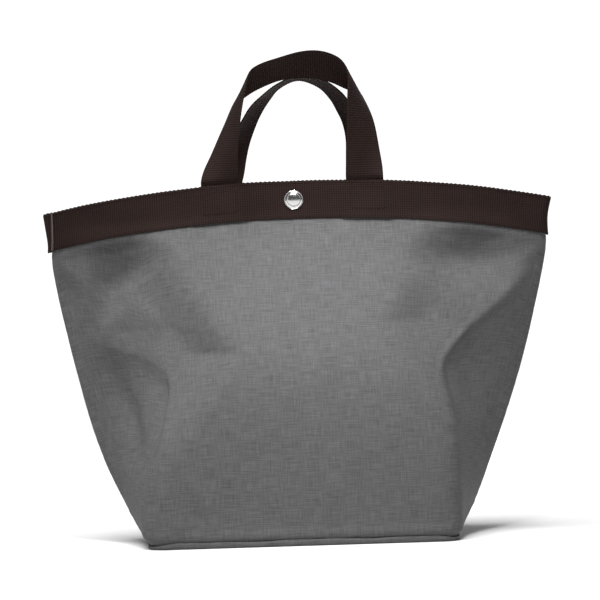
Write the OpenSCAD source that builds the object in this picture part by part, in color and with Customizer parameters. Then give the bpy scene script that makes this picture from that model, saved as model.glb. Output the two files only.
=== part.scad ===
// Soft canvas tote bag with a webbing band round the mouth, two webbing carry handles and a snap.
// +X is to the right, the front faces -Y, +Z is up, and the base stands on z = 0.

/* [Body] */
// Length of the base, left to right
base_length = 304; // [280:1:320]
// Depth of the base, front to back
base_depth = 200; // [180:1:210]
// Length of the mouth from corner to corner, with its two sides together
mouth_length = 510; // [500:1:530]
// Height of the rim at the middle of the mouth
rim_height = 357; // [340:1:380]
// How much lower the rim is at the corners of the mouth
rim_drop = 24; // [10:1:30]
// Thickness of the coated canvas
canvas_t = 1.2; // [0.8:0.1:1.6]
// Height at which the walls stop standing and lean in towards the mouth
lean_from = 173; // [150:1:185]

/* [Webbing] */
// Width of the webbing of the band and the handles
webbing_w = 38; // [32:1:40]
// Thickness of the webbing
webbing_t = 1.6; // [1.2:0.1:2]
// Width of the tape that faces the inside of the rim
facing_w = 26; // [20:1:28]
// Thickness of the inner tapes
tape_t = 1; // [0.6:0.1:1.2]

/* [Handles] */
// Distance between the middles of a handle's two feet
foot_spacing = 146; // [130:1:160]
// Rise of the front handle above the rim, at its centre line
front_rise = 118; // [118:1:135]
// Rise of the back handle above the rim, at its centre line
back_rise = 102; // [92:1:102]
// How far the top of each handle leans to the right
handle_lean = 8; // [0:1:12]

/* [Snap] */
// Diameter of the snap's cap
cap_d = 19; // [15:0.5:20]
// Diameter of the stud's head
stud_d = 6; // [5:0.1:6.5]

/* [Hidden] */

canvas_grey = [0.40, 0.40, 0.41];
webbing_brown = [0.18, 0.13, 0.12];
tape_brown = [0.14, 0.10, 0.09];
nickel = [0.80, 0.80, 0.81];

gap = 0.15;                       // clearance between two layers that are sewn together
cut_gap = 0.8;                    // clearance between the neighbouring parts of one cloth
seam_gap = 0.4;                   // clearance from the side seam to the edge of each panel
base_hx = base_length / 2;
base_hy = base_depth / 2;
mouth_hx = mouth_length / 2;
corner_z = rim_height - rim_drop;
spread = mouth_hx - base_hx;
snap_z = rim_height - webbing_w / 2;
layers = canvas_t + gap + tape_t;          // canvas and facing together
half_gap = 2.4;                            // from the middle plane to the facing, at the snap
mouth_y = half_gap + layers;               // outside of the canvas, at the snap
lens = 6;                                  // how far the mouth gapes on each side of the snap
base_corner = 22;                          // length over which the base turns its corner
wall_corner = 20;                          // and the walls above it
flange_h = 7;                              // height of the base panel's upturned edge
panel_z = flange_h + 1;                    // where the wall panels start
meet_z = 0.85 * corner_z;                  // where the crease reaches the side seam
facets = 48;

// --- smooth steps and corners ---
function knee(s, r) = (s + sqrt(s * s + r * r)) / 2;
function lower_of(a, b, r) = (a + b - sqrt((a - b) * (a - b) + r * r)) / 2;
function upper_of(a, b, r) = (a + b + sqrt((a - b) * (a - b) + r * r)) / 2;
function mix(a, b, q) = a + (b - a) * q;
function ramp(a, b, v) = let (q = max(0, min(1, (v - a) / (b - a)))) q * q * (3 - 2 * q);

// --- the bag's outer surface, as a section at each height ---
// Half width at the side seam
function seam_x(z) = let (q = z / corner_z) base_hx + spread * (1.7 * q - 0.7 * q * q);
// Half depth at the middle of the front
lean = (base_hy - mouth_y) / (knee(rim_height - webbing_w - lean_from, 40) - knee(-lean_from, 40));
function centre_y(z) =
    upper_of(base_hy - lean * (knee(z - lean_from, 40) - knee(-lean_from, 40)), mouth_y, 3);
// The soft crease between the front wall and the gusset-like side
narrowing = 0.085;
crease_slope = (seam_x(meet_z) - base_hx + narrowing * meet_z) / knee(meet_z - lean_from, 12);
function crease_x(z) = lower_of(
    base_hx - narrowing * z + crease_slope * (knee(z - lean_from, 12) - knee(-lean_from, 12)),
    seam_x(z) - 1, 9 * z / corner_z);
// A quarter of the way round the bag at each height
function quarter(z) = mix(base_hx + base_hy, mouth_hx + 3, min(1, z / corner_z));
function crease_y(z) = let (
    side = max(quarter(z) - crease_x(z), 3),
    out = seam_x(z) - crease_x(z)
) sqrt(max(side * side - out * out, 9));
// A point of the front wall, u of the way from its middle to the crease
function front_point(u, z) = [
    u * crease_x(z),
    -mix(centre_y(z), crease_y(z), u * u)
        - lens * ramp(0.62 * rim_height, 0.88 * rim_height, z) * pow(sin(180 * u), 2)
];
function side_point(q, z) = [mix(crease_x(z), seam_x(z), q), -crease_y(z) * (1 - q)];
// A quarter section: t runs from 0 at the middle of the front to 1 at the side seam
function quarter_point(t, z) = let (
    cx = crease_x(z),
    all = quarter(z),
    side = max(all - cx, 3),
    turn = min(mix(base_corner, wall_corner, z / lean_from), 0.8 * side),
    s = t * (cx + side)
)
    s <= cx - turn ? front_point(s / cx, z) :
    s >= cx + turn ? side_point((s - cx) / side, z) :
    let (
        b = (s - cx + turn) / (2 * turn),
        p0 = front_point((cx - turn) / cx, z),
        p1 = [cx, -crease_y(z)],
        p2 = side_point(turn / side, z)
    ) (1 - b) * (1 - b) * p0 + 2 * b * (1 - b) * p1 + b * b * p2;
// All the way round: 0 front, 1 right seam, 2 back, -1 left seam
function fold(t) = abs(t) <= 1 ? abs(t) : 2 - abs(t);
function wall_point(t, z) = let (p = quarter_point(fold(t), z))
    [t < 0 ? -p.x : p.x, abs(t) <= 1 ? p.y : -p.y];
function wall_normal(t, z) = let (
    e = 0.002,
    d = wall_point(t + e, z) - wall_point(t - e, z)
) [d.y, -d.x] / norm(d);
// A point that stands off the outer surface by off
function off_point(t, z, off) = let (p = wall_point(t, z) + off * wall_normal(t, z)) [p.x, p.y, z];
function rim_z(t) = rim_height - rim_drop * pow(fold(t), 2.3);
seam_t = 1 - seam_gap / mouth_hx;

// --- the grid that all the layers share, so that they lie parallel ---
// A level is [a, b], the height a * rim + b. The layers' edges are levels of every grid.
panel_edge = 1.5;                          // the canvas and its facing end this far below the rim
rim_levels = [for (down = [webbing_w, panel_edge + facing_w, panel_edge + facing_w / 2, panel_edge])
    [1, -down]];
wall_rows = 17;
wall_levels = [for (k = [0:wall_rows - 1]) mix([0, panel_z], rim_levels[0], k / wall_rows)];
panel_levels = concat(wall_levels, rim_levels);
band_levels = concat(rim_levels, [[1, 0]]);
facing_levels = [for (k = [1:3]) rim_levels[k]];
function level_z(level, t) = level[0] * rim_z(t) + level[1];
// Each cloth is cut between its swinging middle and its standing sides, at this t
cut_low = 0.3;
cut_high = 0.69;
cut_half = cut_gap / 2 / mouth_hx;
function rise_of(level) = min(1, level_z(level, 0) / level_z(rim_levels[0], 0));
function cut_t(level) = mix(cut_low, cut_high, rise_of(level));
// Columns across one half of the swinging middle, at the rim. The foot of a handle has columns of
// its own.
foot_t = foot_spacing / mouth_length;
foot_half = webbing_w / mouth_length;
foot_columns = [for (k = [-2:2]) foot_t + foot_half * k / 2];
step_in = 0.005;
step_out = 0.025;
middle_half = concat(
    [0.05, 0.1, 0.15], [foot_columns[0] - step_out, foot_columns[0] - step_in], foot_columns,
    [foot_columns[4] + step_in, foot_columns[4] + step_out],
    [0.43, 0.48, 0.53, 0.58, 0.635, cut_high - cut_half]
);
mirrored_half = [for (k = [len(middle_half) - 1:-1:0]) -middle_half[k]];
middle_columns = function (level) cut_t(level) / cut_high * concat(mirrored_half, [0], middle_half);
// Columns of a side, from the cut to the side seam. Low down they are even, to turn the corner.
side_count = 15;
side_rim = [cut_high + cut_half, 0.715, 0.74, 0.765, 0.79, 0.815, 0.84, 0.86, 0.88, 0.91, 0.935,
    0.962, 0.975, 0.985, 0.992, seam_t];
side_share = [for (t = side_rim) (t - side_rim[0]) / (seam_t - side_rim[0])];
side_columns = function (level) let (q = pow(rise_of(level), 4))
    [for (k = [0:side_count]) mix(cut_t(level) + cut_half, seam_t, mix(k / side_count, side_share[k], q))];
corner_columns = function (level)
    concat(side_rim, [1], [for (k = [side_count:-1:0]) 2 - side_rim[k]]);

// --- a sheet between two layers ---
// levels and columns(level) give its grid, and inner(t), outer(t) how far its faces stand off the
// bag's surface. A mitred sheet stays on its own side of the side seam.
module sheet(levels, columns, inner, outer, mitred = false) {
    function mitre(p) = mitred ? [p.x, min(p.y, -seam_gap / 2), p.z] : p;
    points = [
        for (face = [0, 1], level = levels, t = columns(level))
            mitre(off_point(t, level_z(level, t), face == 0 ? inner(t) : outer(t)))
    ];
    row = len(columns(levels[0]));
    rows = len(levels);
    layer = row * rows;
    grid = [for (j = [0:rows - 2], i = [0:row - 2]) j * row + i];
    ends = [for (j = [0:rows - 2]) j * row];
    edges = [for (i = [0:row - 2]) i];
    faces = concat(
        [for (a = grid) each [[a, a + 1, a + row + 1], [a, a + row + 1, a + row]]],
        [for (a = grid) let (b = a + layer) each [[b, b + row + 1, b + 1], [b, b + row, b + row + 1]]],
        [for (a = ends) let (b = a + layer) each [[a, a + row, b + row], [a, b + row, b]]],
        [for (c = ends) let (a = c + row - 1, b = a + layer)
            each [[a, b, b + row], [a, b + row, a + row]]],
        [for (a = edges) let (b = a + layer) each [[a, b, b + 1], [a, b + 1, a + 1]]],
        [for (c = edges) let (a = c + layer - row, b = a + layer)
            each [[a, a + 1, b + 1], [a, b + 1, b]]]
    );
    polyhedron(points, faces);
}

// Faces of the layers
canvas_in = function (t) -canvas_t;
canvas_out = function (t) 0;
facing_in = function (t) -canvas_t - gap - tape_t;
facing_out = function (t) -canvas_t - gap;
foot_in = function (t) gap;
foot_out = function (t) gap + webbing_t;
// The band steps out over the feet of the handles, which are sewn in behind it
function over_foot(t) = 1 - ramp(foot_half + step_in, foot_half + step_out, abs(fold(t) - foot_t));
// and round the corners of the mouth
corner_gap = 0.6;
band_in = function (t) gap + (webbing_t + gap) * over_foot(t) + corner_gap * ramp(0.88, 0.96, fold(t));
band_out = function (t) band_in(t) + webbing_t;

// --- panels ---
module middle_panel(turn) {
    color(canvas_grey) rotate([0, 0, turn]) difference() {
        sheet(panel_levels, middle_columns, canvas_in, canvas_out);
        snap_hole();
    }
}
module side_panel() {
    color(canvas_grey) sheet(panel_levels, side_columns, canvas_in, canvas_out, mitred = true);
}
module front_panel() { middle_panel(0); }
module back_panel() { middle_panel(180); }
module front_panel_right() { side_panel(); }
module front_panel_left() { mirror([1, 0, 0]) side_panel(); }
module back_panel_right() { mirror([0, 1, 0]) side_panel(); }
module back_panel_left() { rotate([0, 0, 180]) side_panel(); }

// --- base ---
module rounded(hx, hy, r) {
    square([2 * hx, 2 * (hy - r)], center = true);
    square([2 * (hx - r), 2 * hy], center = true);
    for (sx = [-1, 1], sy = [-1, 1])
        translate([sx * (hx - r), sy * (hy - r)]) circle(r = r, $fn = facets);
}
module base_panel() {
    corner_r = base_corner - 2;
    color(canvas_grey) difference() {
        linear_extrude(flange_h) rounded(base_hx, base_hy, corner_r);
        translate([0, 0, canvas_t])
            linear_extrude(flange_h) rounded(base_hx - canvas_t, base_hy - canvas_t, corner_r - canvas_t);
    }
}
module base_lining() {
    color(canvas_grey) translate([0, 0, canvas_t + gap])
        linear_extrude(canvas_t) rounded(base_hx - 9, base_hy - 9, base_corner - 8);
}
module base_seam_binding() {
    low = canvas_t + gap;
    back_off = canvas_t + 0.8;
    color(tape_brown) translate([0, 0, low]) difference() {
        linear_extrude(10) rounded(base_hx - back_off, base_hy - back_off, base_corner - 4);
        translate([0, 0, -1]) linear_extrude(12)
            rounded(base_hx - back_off - 2, base_hy - back_off - 2, base_corner - 6);
    }
}

// --- bound seam allowances inside the side seams ---
module side_seam_binding() {
    rings = 20;
    depth = 9;
    low = 16;
    high = corner_z - facing_w - 6;
    inset = canvas_t + 5;
    points = [for (j = [0:rings]) let (z = mix(low, high, j / rings), x = seam_x(z) - inset)
        each [[x, -1, z], [x, 1, z], [x - depth, 1, z], [x - depth, -1, z]]];
    sides = [for (j = [0:rings - 1], k = [0:3])
        let (a = 4 * j + k, b = 4 * j + (k + 1) % 4) each [[a, a + 4, b + 4], [a, b + 4, b]]];
    color(tape_brown) polyhedron(points, concat(
        sides, [[0, 1, 2], [0, 2, 3]],
        [[4 * rings + 2, 4 * rings + 1, 4 * rings], [4 * rings + 3, 4 * rings + 2, 4 * rings]]
    ));
}
module side_seam_binding_right() { side_seam_binding(); }
module side_seam_binding_left() { mirror([1, 0, 0]) side_seam_binding(); }

// --- band round the mouth, and the tape that faces it inside ---
module middle_band(turn) {
    color(webbing_brown) rotate([0, 0, turn]) difference() {
        sheet(band_levels, middle_columns, band_in, band_out);
        snap_hole();
    }
}
module corner_band() {
    color(webbing_brown) sheet(band_levels, corner_columns, band_in, band_out);
}
module front_band() { middle_band(0); }
module back_band() { middle_band(180); }
module band_corner_right() { corner_band(); }
module band_corner_left() { mirror([1, 0, 0]) corner_band(); }
// The end of the band, folded round the left corner and sewn down over its start
module band_overlap() {
    over = webbing_t + gap;
    on_front = 0.962;
    on_back = 1.09;
    color(webbing_brown) mirror([1, 0, 0])
        sheet(band_levels, function (level) [for (t = corner_columns(level))
            if (t > on_front - cut_half && t < on_back + cut_half) t],
            function (t) band_in(t) + over, function (t) band_out(t) + over);
}
module middle_facing(turn) {
    color(tape_brown) rotate([0, 0, turn]) difference() {
        sheet(facing_levels, middle_columns, facing_in, facing_out);
        snap_hole();
    }
}
// It stops short of the corner, where the two sides of the mouth close on each other
module side_facing() {
    ends_at = 0.94;
    color(tape_brown) for (flip = [0, 1]) mirror([0, flip, 0])
        sheet(facing_levels, function (level) [for (t = side_rim) if (t < ends_at) t],
            facing_in, facing_out);
}
module front_facing() { middle_facing(0); }
module back_facing() { middle_facing(180); }
module facing_right() { side_facing(); }
module facing_left() { mirror([1, 0, 0]) side_facing(); }

// --- handles ---
// The feet are the sewn ends of each handle, between the band and the canvas
module handle_foot(side) {
    color(webbing_brown)
        sheet(concat(facing_levels, [[1, 0]]),
            function (level) [for (k = [0:4]) side * foot_columns[side > 0 ? k : 4 - k]],
            foot_in, foot_out);
}
module front_handle_foot_left() { handle_foot(-1); }
module front_handle_foot_right() { handle_foot(1); }
module back_handle_foot_left() { rotate([0, 0, 180]) handle_foot(1); }
module back_handle_foot_right() { rotate([0, 0, 180]) handle_foot(-1); }

foot_y = -wall_point(foot_t, rim_height).y + gap + webbing_t / 2;
handle_z = rim_height + 1;
// A loop of webbing that leaves its feet flat and twists on its way up.
// side is -1 for the front handle and 1 for the back one.
module handle_loop(side, half, rise, square_n, top_y, top_twist) {
    stations = 56;
    function leg(a, n) = pow(abs(a), 2 / n);
    function centre(k) = let (
        f = 180 * k / stations,
        up = leg(sin(f), square_n)
    ) [
        -sign(cos(f)) * half * leg(cos(f), square_n) + handle_lean * up,
        side * mix(foot_y, top_y, up),
        handle_z + rise * up
    ];
    function twist(k) = mix(-90, top_twist, pow(sin(180 * k / stations), 1.3));
    // The ends point straight up, out of their feet
    function along(k) = k == 0 ? [0, 0, 1] : k == stations ? [0, 0, -1] :
        let (d = centre(k + 1) - centre(k - 1)) d / norm(d);
    function outwards(k) = let (d = along(k), p = [-d.z, 0, d.x]) p / norm(p);
    function across(k) = cos(twist(k)) * [0, side, 0] + sin(twist(k)) * outwards(k);
    function ring(k) = let (
        c = centre(k),
        w = across(k) * webbing_w / 2,
        n = cross(along(k), across(k)) * webbing_t / 2
    ) [c - w - n, c + w - n, c + w + n, c - w + n];
    points = [for (k = [0:stations]) each ring(k)];
    walls = [for (k = [0:stations - 1], m = [0:3])
        let (a = 4 * k + m, b = 4 * k + (m + 1) % 4) each [[a, a + 4, b + 4], [a, b + 4, b]]];
    last = 4 * stations;
    color(webbing_brown) polyhedron(points, concat(
        walls, [[0, 1, 2], [0, 2, 3]], [[last + 2, last + 1, last], [last + 3, last + 2, last]]
    ));
}
module front_handle() { handle_loop(-1, foot_spacing / 2, front_rise, 2.35, 14, 45); }
module back_handle() { handle_loop(1, foot_spacing / 2 - 3, back_rise, 2.05, 12, 4); }

// --- snap, closed: the socket holds the stud, and each is riveted through its side ---
stem_d = 3;
cap_y = centre_y(snap_z - cap_d / 2) + 2 * gap + webbing_t + gap;     // under the cap
socket_y = half_gap - gap;                        // under the socket's flange
module snap_hole() {
    translate([0, 0, snap_z]) rotate([90, 0, 0])
        cylinder(d = stem_d + 0.4, h = 4 * mouth_y, $fn = facets);
}
module facing_front(y) { translate([0, -y, snap_z]) rotate([90, 0, 0]) children(); }
module facing_back(y) { translate([0, y, snap_z]) rotate([-90, 0, 0]) children(); }
// A low dome with a rolled rim and one plain ring pressed into it
module cap(d) {
    r = d / 2;
    dome = 2.2;
    sphere_r = (r * r + dome * dome) / (2 * dome);
    difference() {
        rotate_extrude($fn = facets) intersection() {
            union() {
                translate([0, dome - sphere_r]) circle(r = sphere_r, $fn = 4 * facets);
                translate([r - 0.7, 0.7]) circle(r = 0.7, $fn = facets);
            }
            square([r, dome]);
        }
        rotate_extrude($fn = facets) translate([r - 3.2, dome - 0.45]) circle(r = 0.5, $fn = facets);
    }
}
module snap_cap() {
    color(nickel) facing_front(cap_y) {
        cap(cap_d);
        translate([0, 0, -(cap_y - half_gap)]) cylinder(d = stem_d, h = cap_y - half_gap, $fn = facets);
    }
}
socket_d = 12.5;
socket_h = 3.4;
socket_bore = stud_d + 1.8;
module snap_socket() {
    color(nickel) facing_back(-socket_y) difference() {
        union() {
            cylinder(d = socket_d, h = 0.8, $fn = facets);
            cylinder(d = socket_d - 2, h = socket_h, $fn = facets);
        }
        translate([0, 0, 0.8]) cylinder(d = socket_bore, h = socket_h, $fn = facets);
    }
}
module snap_stud() {
    color(nickel) facing_front(-socket_y) {
        cylinder(d = socket_d - 2.5, h = 0.8, $fn = facets);
        cylinder(d = stud_d - 1, h = 2.6, $fn = facets);
        translate([0, 0, 1.6]) cylinder(d = stud_d, h = 1, $fn = facets);
    }
}
module snap_back_cap() {
    color(nickel) facing_back(cap_y) {
        cap(cap_d - 5);
        translate([0, 0, -(cap_y - half_gap)]) cylinder(d = stem_d, h = cap_y - half_gap, $fn = facets);
    }
}

front_panel();
front_panel_left();
front_panel_right();
back_panel();
back_panel_left();
back_panel_right();
base_panel();
base_lining();
base_seam_binding();
side_seam_binding_left();
side_seam_binding_right();
front_band();
back_band();
band_corner_left();
band_corner_right();
band_overlap();
front_facing();
back_facing();
facing_left();
facing_right();
front_handle_foot_left();
front_handle_foot_right();
back_handle_foot_left();
back_handle_foot_right();
front_handle();
back_handle();
snap_cap();
snap_socket();
snap_stud();
snap_back_cap();
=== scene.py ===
import math

import bpy
import numpy as np
from mathutils import Matrix, Vector


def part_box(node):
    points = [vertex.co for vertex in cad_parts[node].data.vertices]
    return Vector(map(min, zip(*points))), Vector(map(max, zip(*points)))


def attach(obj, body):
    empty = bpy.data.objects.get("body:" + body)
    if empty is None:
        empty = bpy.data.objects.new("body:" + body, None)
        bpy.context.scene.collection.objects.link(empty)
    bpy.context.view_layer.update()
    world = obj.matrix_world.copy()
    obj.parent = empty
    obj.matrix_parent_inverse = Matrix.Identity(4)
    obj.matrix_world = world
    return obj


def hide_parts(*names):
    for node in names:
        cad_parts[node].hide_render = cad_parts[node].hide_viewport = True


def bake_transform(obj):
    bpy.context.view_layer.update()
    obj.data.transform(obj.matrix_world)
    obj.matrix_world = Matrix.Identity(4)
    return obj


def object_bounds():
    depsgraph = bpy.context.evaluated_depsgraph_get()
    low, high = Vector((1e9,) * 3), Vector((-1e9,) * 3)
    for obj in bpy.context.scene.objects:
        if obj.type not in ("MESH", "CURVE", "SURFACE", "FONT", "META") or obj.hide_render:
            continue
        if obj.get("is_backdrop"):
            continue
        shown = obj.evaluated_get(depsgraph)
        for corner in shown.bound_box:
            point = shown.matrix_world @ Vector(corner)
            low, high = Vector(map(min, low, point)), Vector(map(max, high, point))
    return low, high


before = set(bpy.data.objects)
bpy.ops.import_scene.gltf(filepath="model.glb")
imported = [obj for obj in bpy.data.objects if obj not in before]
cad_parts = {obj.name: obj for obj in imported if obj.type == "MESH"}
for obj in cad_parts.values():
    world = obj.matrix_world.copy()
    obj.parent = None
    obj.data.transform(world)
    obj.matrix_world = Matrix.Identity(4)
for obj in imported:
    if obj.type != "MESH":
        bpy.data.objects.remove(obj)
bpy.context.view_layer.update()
scene = bpy.context.scene
MM = 0.001

# -------------------------------- sizes, in mm, as in the CAD
BASE_HX, BASE_HY, FLANGE_H = (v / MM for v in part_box("base_panel")[1])
RIM_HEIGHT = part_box("front_band")[1].z / MM
RIM_DROP = 24
RIM_POWER = 2.3
LEFT_RIM_DROP = 2.4
MOUTH_HX = 255
LEAN_FROM = 173
WEBBING_W = 38
WEBBING_T = 1.6
CANVAS_T = 1.2
TAPE_T = 1.0
GAP = 0.15
RIB = 2.3                         # of the webbing
HALF_GAP = 2.4
MOUTH_Y = HALF_GAP + CANVAS_T + GAP + TAPE_T
LENS = 6                          # how far the mouth gapes on each side of the snap
BASE_CORNER = 22
WALL_CORNER = 20
LEFT_SHARP = 11
LEFT_SOFT = 62
CORNER_Z = RIM_HEIGHT - RIM_DROP
MEET_Z = 0.85 * CORNER_Z
SPREAD = MOUTH_HX - BASE_HX
FOOT_SPACING = 146
FOOT_T = FOOT_SPACING / 2 / MOUTH_HX
FOOT_HALF = WEBBING_W / 2 / MOUTH_HX
BAND_Z = RIM_HEIGHT - WEBBING_W / 2
BAND_E = 0.012                    # the step in t that the band's directions are taken over
SNAP_Z = BAND_Z
CORNER_GAP = 0.6
CLOTH_T = 0.8                     # the canvas as it looks, thinner than its CAD solid


# -------------------------------- smooth steps
def knee(s, r):
    """0 below 0 and s above it, rounded over r."""
    return (s + np.sqrt(s * s + r * r)) / 2


def lower_of(a, b, r):
    """The lower of two, rounded over r where they meet."""
    return (a + b - np.sqrt((a - b) ** 2 + r * r)) / 2


def upper_of(a, b, r):
    return (a + b + np.sqrt((a - b) ** 2 + r * r)) / 2


def mix(a, b, q):
    return a + (b - a) * q


def ramp(a, b, v):
    q = np.clip((v - a) / (b - a), 0, 1)
    return q * q * (3 - 2 * q)


def hump(v, middle, width):
    return np.exp(-((v - middle) / width) ** 2)


# -------------------------------- the bag's surface, as in the CAD
def seam_x(z):
    """How far out the side seams are."""
    q = z / CORNER_Z
    return BASE_HX + SPREAD * (1.7 * q - 0.7 * q * q)


LEAN_ROUND = 40
LEAN_LOW = knee(-LEAN_FROM, LEAN_ROUND)
LEAN = (BASE_HY - MOUTH_Y) / (knee(RIM_HEIGHT - WEBBING_W - LEAN_FROM, LEAN_ROUND) - LEAN_LOW)
NARROWING = 0.085
CREASE_ROUND = 12
CREASE_SLOPE = (seam_x(MEET_Z) - BASE_HX + NARROWING * MEET_Z) / knee(MEET_Z - LEAN_FROM, CREASE_ROUND)


def centre_y(z):
    """Half the bag's depth at its middle: the walls lean in above LEAN_FROM."""
    return upper_of(BASE_HY - LEAN * (knee(z - LEAN_FROM, LEAN_ROUND) - LEAN_LOW), MOUTH_Y, 3)


def crease_x(z):
    """How far out the front ends and the side face starts."""
    rise = CREASE_SLOPE * (knee(z - LEAN_FROM, CREASE_ROUND) - knee(-LEAN_FROM, CREASE_ROUND))
    return lower_of(BASE_HX - NARROWING * z + rise, seam_x(z) - 1, 9 * z / CORNER_Z)


def quarter(z):
    """A quarter of the bag's girth."""
    return mix(BASE_HX + BASE_HY, MOUTH_HX + 3, np.minimum(1, z / CORNER_Z))


def crease_y(z):
    """Half the depth at the creases, from what the front leaves of the girth."""
    side = np.maximum(quarter(z) - crease_x(z), 3)
    out = seam_x(z) - crease_x(z)
    return np.sqrt(np.maximum(side * side - out * out, 9))


def front_point(u, z):
    """On the front, u from 0 at its middle to 1 at the crease."""
    gape = LENS * ramp(0.62 * RIM_HEIGHT, 0.88 * RIM_HEIGHT, z) * np.sin(np.pi * u) ** 2
    return u * crease_x(z), -mix(centre_y(z), crease_y(z), u * u) - gape


def side_point(q, z):
    """On the side face, q from 0 at the crease to 1 at the seam."""
    return mix(crease_x(z), seam_x(z), q), -crease_y(z) * (1 - q)


def corner_turn(left_front, z):
    """Half the length over which the wall turns its corner.

    The front's left corner is sharp low down and soft above.
    """
    plain = mix(BASE_CORNER, WALL_CORNER, z / LEAN_FROM)
    low_edge = mix(plain, LEFT_SHARP, hump(z, 128, 34))
    soft_top = mix(low_edge, LEFT_SOFT, ramp(168, 215, z) * (1 - ramp(285, 312, z)))
    return np.where(left_front, soft_top, plain)


def quarter_point(f, z, left_front):
    """On the wall, f from 0 at the middle of the front to 1 at the seam, with the crease rounded."""
    cx = crease_x(z)
    side = np.maximum(quarter(z) - cx, 3)
    turn = np.minimum(corner_turn(left_front, z), 0.8 * side)
    s = f * (cx + side)
    b = np.clip((s - cx + turn) / (2 * turn), 0, 1)
    start = front_point((cx - turn) / cx, z)
    corner = (cx, -crease_y(z))
    stop = side_point(turn / side, z)
    front = front_point(s / cx, z)
    beside = side_point((s - cx) / side, z)
    out = []
    for k in range(2):
        bend = (1 - b) ** 2 * start[k] + 2 * b * (1 - b) * corner[k] + b * b * stop[k]
        out.append(np.where(b <= 0, front[k], np.where(b >= 1, beside[k], bend)))
    return out


def fold(t):
    """How far t is from the middle of the front or of the back, 1 at the side seams.

    t runs round the bag: 0 at the middle of the front, 1 the right seam, 2 the back, -1 the left seam.
    """
    return np.where(np.abs(t) <= 1, np.abs(t), 2 - np.abs(t))


# How much wider the bag stands than its plain shape, at heights in mm: it was stuffed unevenly
WIDER_LEFT = (
    (0, 0), (8, 1), (17, 6), (75, 7), (110, 5), (165, 0), (210, -2.5), (282, -4), (298, -8.5), (312, -8.5),
    (360, -7),
)
WIDER_RIGHT = (
    (0, 0), (8, 0), (18, 4), (40, 4), (75, 2), (120, 1), (225, 1), (284, 3), (302, -1), (316, -2.5), (340, 1),
    (360, 1),
)


def wider(z, heights):
    """The extra half width at z, with the corners of its outline rounded off."""
    at, by = np.array(heights).T
    return sum(np.interp(z + shift, at, by) for shift in (-6, -3, 0, 3, 6)) / 5


def across(t):
    """mm along the rim from the middle of the front or of the back, so the cloth's weave runs on past it."""
    t = np.asarray(t, float)
    return np.where(np.abs(t) <= 1, t, t - 2 * np.sign(t)) * MOUTH_HX


def wall(t, z):
    """x and y of the bag's surface, before its folds."""
    t, z = np.broadcast_arrays(np.asarray(t, float), np.asarray(z, float))
    x, y = quarter_point(fold(t), z, (t < 0) & (t >= -1))
    share = (x / seam_x(z)) ** 3
    x = x + share * np.where(t < 0, wider(z, WIDER_LEFT), wider(z, WIDER_RIGHT))
    return np.where(t < 0, -x, x), np.where(np.abs(t) <= 1, y, -y)


def wall_normal(t, z, e):
    x0, y0 = wall(t - e, z)
    x1, y1 = wall(t + e, z)
    dx, dy = x1 - x0, y1 - y0
    length = np.hypot(dx, dy)
    return dy / length, -dx / length


def off_wall(t, z, off, e=0.004):
    """Points that stand off the wall by off, sideways."""
    x, y = wall(t, z)
    nx, ny = wall_normal(t, z, e)
    t, z, off = np.broadcast_arrays(t, z, off)
    return np.stack([x + off * nx, y + off * ny, z], -1)


def rim_z(t):
    """The rim falls towards the ends of the mouth, a little more on the left."""
    f = np.abs(fold(t))
    return RIM_HEIGHT - RIM_DROP * f ** RIM_POWER - LEFT_RIM_DROP * ramp(0.1, 0.6, f) * (np.asarray(t) < 0)


# -------------------------------- folds and hollows of the cloth
def smooth_line(points, n=48):
    """A smooth line through points."""
    p = np.array([points[0], *points, points[-1]], float)
    out = []
    for k in range(len(points) - 1):
        a, b, c, d = p[k:k + 4]
        q = np.linspace(0, 1, n, endpoint=k == len(points) - 2)[:, None]
        out.append(b + 0.5 * q * (c - a + q * (2 * a - 5 * b + 4 * c - d + q * (3 * (b - c) + d - a))))
    return np.concatenate(out)


def crease(x, z, points, width, height, lip=0.0):
    """A fold along a line: a hump, or a dent if height is negative. lip raises the cloth on its left."""
    line = smooth_line(points)
    run = np.gradient(line, axis=0)
    run /= np.linalg.norm(run, axis=1)[:, None]
    dx = x[..., None] - line[:, 0]
    dz = z[..., None] - line[:, 1]
    k = (dx * dx + dz * dz).argmin(-1)
    dx = np.take_along_axis(dx, k[..., None], -1)[..., 0]
    dz = np.take_along_axis(dz, k[..., None], -1)[..., 0]
    side = (run[k, 0] * dz - run[k, 1] * dx) / width
    beyond = (run[k, 0] * dx + run[k, 1] * dz) / width
    share = k / (len(line) - 1)
    fade = np.sqrt(np.clip(np.sin(np.pi * np.clip(share, 0.02, 0.98)), 0, 1))
    shape = height * np.exp(-side ** 2) + lip * side * np.exp(-side ** 2 / 2)
    return shape * fade * np.exp(-beyond ** 2)


def dent(x, z, at, size, height, turn=0.0):
    """A soft hollow or swelling at a place, its long axis turned by that many degrees."""
    c, s = math.cos(math.radians(turn)), math.sin(math.radians(turn))
    u = (x - at[0]) * c + (z - at[1]) * s
    v = (z - at[1]) * c - (x - at[0]) * s
    return height * np.exp(-(u / size[0]) ** 2 - (v / size[1]) ** 2)


# The hollows are gone before they reach the tapes inside the side seams
RECESS_END = (176, 218)


def recess(out_from_middle, z, edge, depth, width, rise, fall):
    """A hollow beside the middle of the front: it starts at edge and deepens over width.

    It grows up the bag between the heights in rise, and three quarters of it goes between those in fall.
    """
    out = depth * ramp(0, width, out_from_middle - edge) * ramp(*rise, z)
    return out * (1 - 0.75 * ramp(*fall, z)) * (1 - ramp(*RECESS_END, out_from_middle))


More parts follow.
